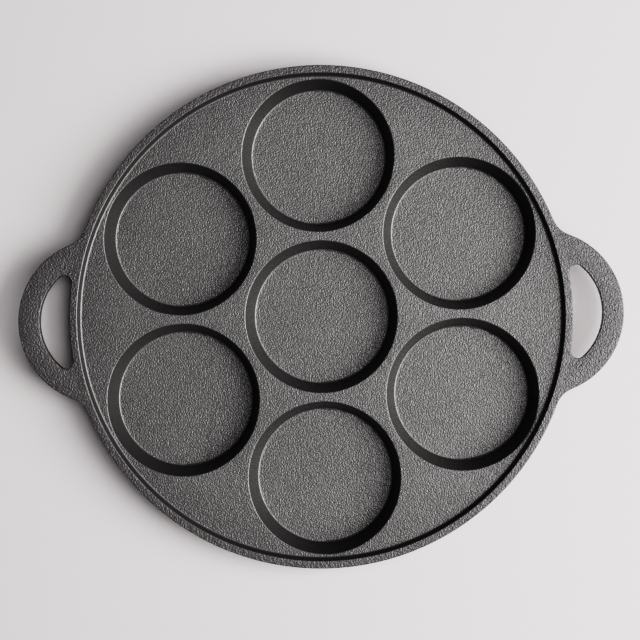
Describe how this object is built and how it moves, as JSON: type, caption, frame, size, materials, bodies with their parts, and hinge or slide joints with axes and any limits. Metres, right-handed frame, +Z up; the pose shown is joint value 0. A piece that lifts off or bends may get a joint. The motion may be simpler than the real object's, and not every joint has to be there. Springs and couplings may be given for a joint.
{
  "type": "egg pancake pan",
  "caption": "Round cast-iron pan with shallow round wells for egg pancakes inside a low raised rim, and a loop handle on each side.",
  "frame": {"origin": "on the table under the middle of the pan, in the plane of the wells' flat feet", "axes": "+X along both handles, +Z up out of the wells"},
  "size_m": [0.3172, 0.2638, 0.019],
  "materials": {
    "cast_iron": "sand-cast, seasoned, matt grey with a fine grain"
  },
  "bodies": {
    "root": {"pan": "cast_iron"}
  },
  "joints": []
}
